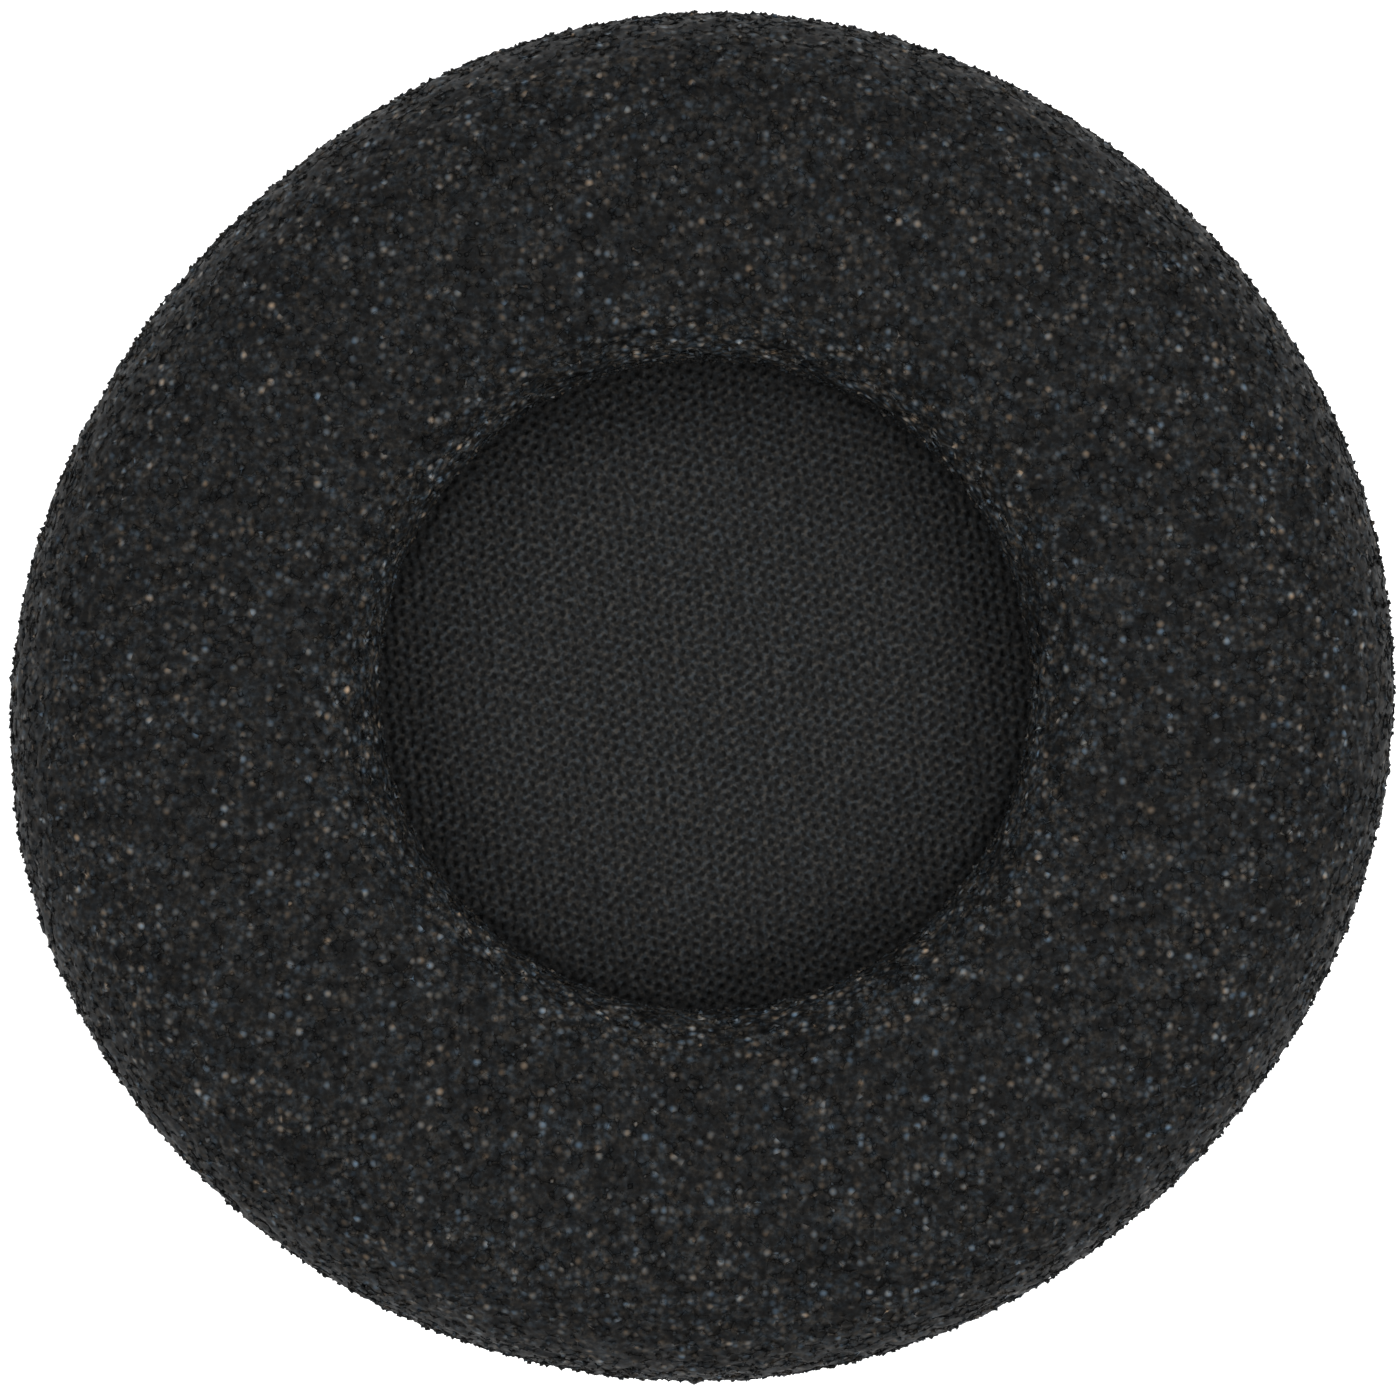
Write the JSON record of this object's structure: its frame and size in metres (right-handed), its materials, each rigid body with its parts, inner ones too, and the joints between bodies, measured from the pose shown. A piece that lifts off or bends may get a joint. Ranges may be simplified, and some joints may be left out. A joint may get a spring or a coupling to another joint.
{
  "type": "foam ear cushion",
  "caption": "Round open-cell foam ear cushion with a recessed knitted speaker cloth centre and a stretch lip behind.",
  "frame": {"origin": "centre of the bottom, where the back lip lies on a surface", "axes": "+Z out of the face that meets the ear; the cushion is round about Z, so X and Y are free"},
  "size_m": [0.06, 0.06, 0.015],
  "materials": {
    "open_cell_foam": "matte",
    "fused_foam": "satin",
    "knitted_speaker_cloth": "matte",
    "web_adhesive": "satin"
  },
  "bodies": {
    "root": {"front_foam_ring": "open_cell_foam", "back_foam_lip": "open_cell_foam", "rim_weld_seam": "fused_foam", "speaker_cloth_disc": "knitted_speaker_cloth", "cloth_adhesive_ring": "web_adhesive"}
  },
  "joints": []
}
